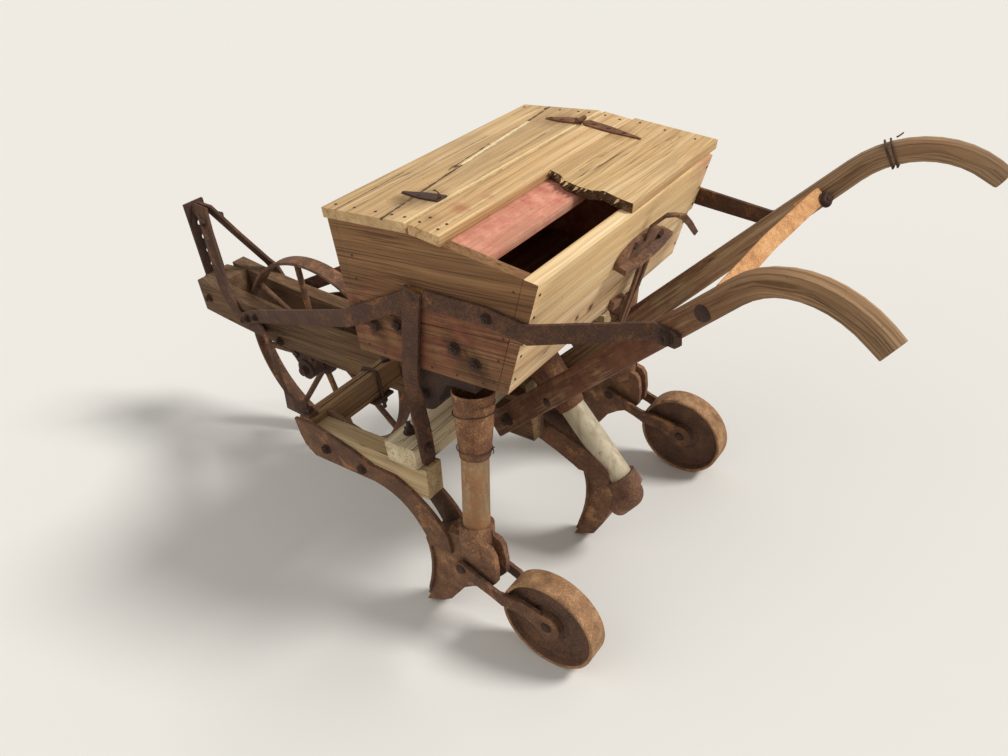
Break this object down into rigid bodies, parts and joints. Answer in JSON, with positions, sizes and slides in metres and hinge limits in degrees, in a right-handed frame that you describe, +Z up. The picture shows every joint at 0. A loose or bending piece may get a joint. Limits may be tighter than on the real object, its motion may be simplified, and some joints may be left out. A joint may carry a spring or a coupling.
{
  "type": "walking seed drill",
  "caption": "Old horse-drawn walking seed drill: wooden hopper with hinged lid on two beams, curved hoes with seed tubes, spoked drive wheel in front, trailing press wheels, plough handles.",
  "frame": {"origin": "middle of the footprint's box at ground level, under the machine", "axes": "+X forward to the hitch, +Y to the machine's left, +Z up from the ground"},
  "size_m": [1.8719, 0.7428, 0.8961],
  "materials": {
    "beam_wood": "weathered brown oak, split and dull",
    "board_wood": "bare weathered pine, grey and tan",
    "red_wood": "pine with faded and worn red paint",
    "new_wood": "pale replacement timber, dry and checked",
    "handle_wood": "bent hardwood with worn dark red paint",
    "flat_iron": "brown rusted flat iron",
    "dark_iron": "dark pitted rust",
    "cast_iron": "rough rusted casting",
    "old_zinc": "dull zinc sheet with rust patches"
  },
  "bodies": {
    "frame": {"main_beam_left": "beam_wood", "main_beam_right": "beam_wood", "cross_block": "beam_wood", "hitch_plate": "dark_iron", "hitch_leg_left": "dark_iron", "hitch_leg_right": "dark_iron", "front_cross_beam": "beam_wood", "rear_cross_beam": "new_wood", "row_bar_left": "new_wood", "row_bar_centre": "new_wood", "row_bar_right": "new_wood", "standard_left": "flat_iron", "standard_centre": "flat_iron", "standard_right": "flat_iron", "boot_left": "cast_iron", "boot_centre": "cast_iron", "boot_right": "cast_iron", "shovel_left": "flat_iron", "shovel_centre": "flat_iron", "shovel_right": "flat_iron", "press_arms_left": "flat_iron", "press_arms_right": "flat_iron", "press_pins_left": "dark_iron", "press_pins_right": "dark_iron", "axle_hanger_left": "cast_iron", "axle_hanger_right": "cast_iron", "hopper_front": "board_wood", "hopper_end_left": "red_wood", "hopper_end_right": "red_wood", "hopper_rear_upper": "board_wood", "hopper_rear_lower": "board_wood", "hopper_floor": "red_wood", "hopper_cover": "red_wood", "hopper_top": "board_wood", "lid_hinge_fixed": "dark_iron", "side_strap_left": "flat_iron", "side_strap_right": "flat_iron", "post_strap_left": "flat_iron", "post_strap_right": "flat_iron", "handle_left": "handle_wood", "handle_right": "handle_wood", "handle_spreader": "flat_iron", "seed_tube_left": "old_zinc", "seed_tube_centre": "old_zinc", "seed_tube_right": "old_zinc", "seed_sleeve_left": "old_zinc", "seed_sleeve_centre": "old_zinc", "seed_sleeve_right": "old_zinc", "feed_shaft": "cast_iron", "feed_cups": "cast_iron", "shutoff_plate": "dark_iron", "shutoff_lever": "dark_iron"},
    "drive_wheel": {"drive_rim": "flat_iron", "drive_spokes": "flat_iron", "drive_hub": "cast_iron"},
    "press_wheel_left": {"press_wheel_left": "cast_iron"},
    "press_wheel_right": {"press_wheel_right": "cast_iron"},
    "lid": {"lid_rail": "board_wood", "lid_board": "board_wood", "lid_hinge_moving": "dark_iron"}
  },
  "joints": [
    {"name": "drive_wheel_spin", "type": "hinge", "parent": "frame", "child": "drive_wheel", "pos_m": [0.528, 0, 0.276], "axis": [0, 1, 0], "continuous": true},
    {"name": "press_wheel_left_spin", "type": "hinge", "parent": "frame", "child": "press_wheel_left", "pos_m": [-0.392, 0.328, 0.103], "axis": [0, 1, 0], "continuous": true},
    {"name": "press_wheel_right_spin", "type": "hinge", "parent": "frame", "child": "press_wheel_right", "pos_m": [-0.342, -0.328, 0.103], "axis": [0, 1, 0], "continuous": true},
    {"name": "lid_hinge", "type": "hinge", "parent": "frame", "child": "lid", "pos_m": [-0.172, 0, 0.888], "axis": [0, 1, 0], "range_deg": [0, 105]}
  ]
}
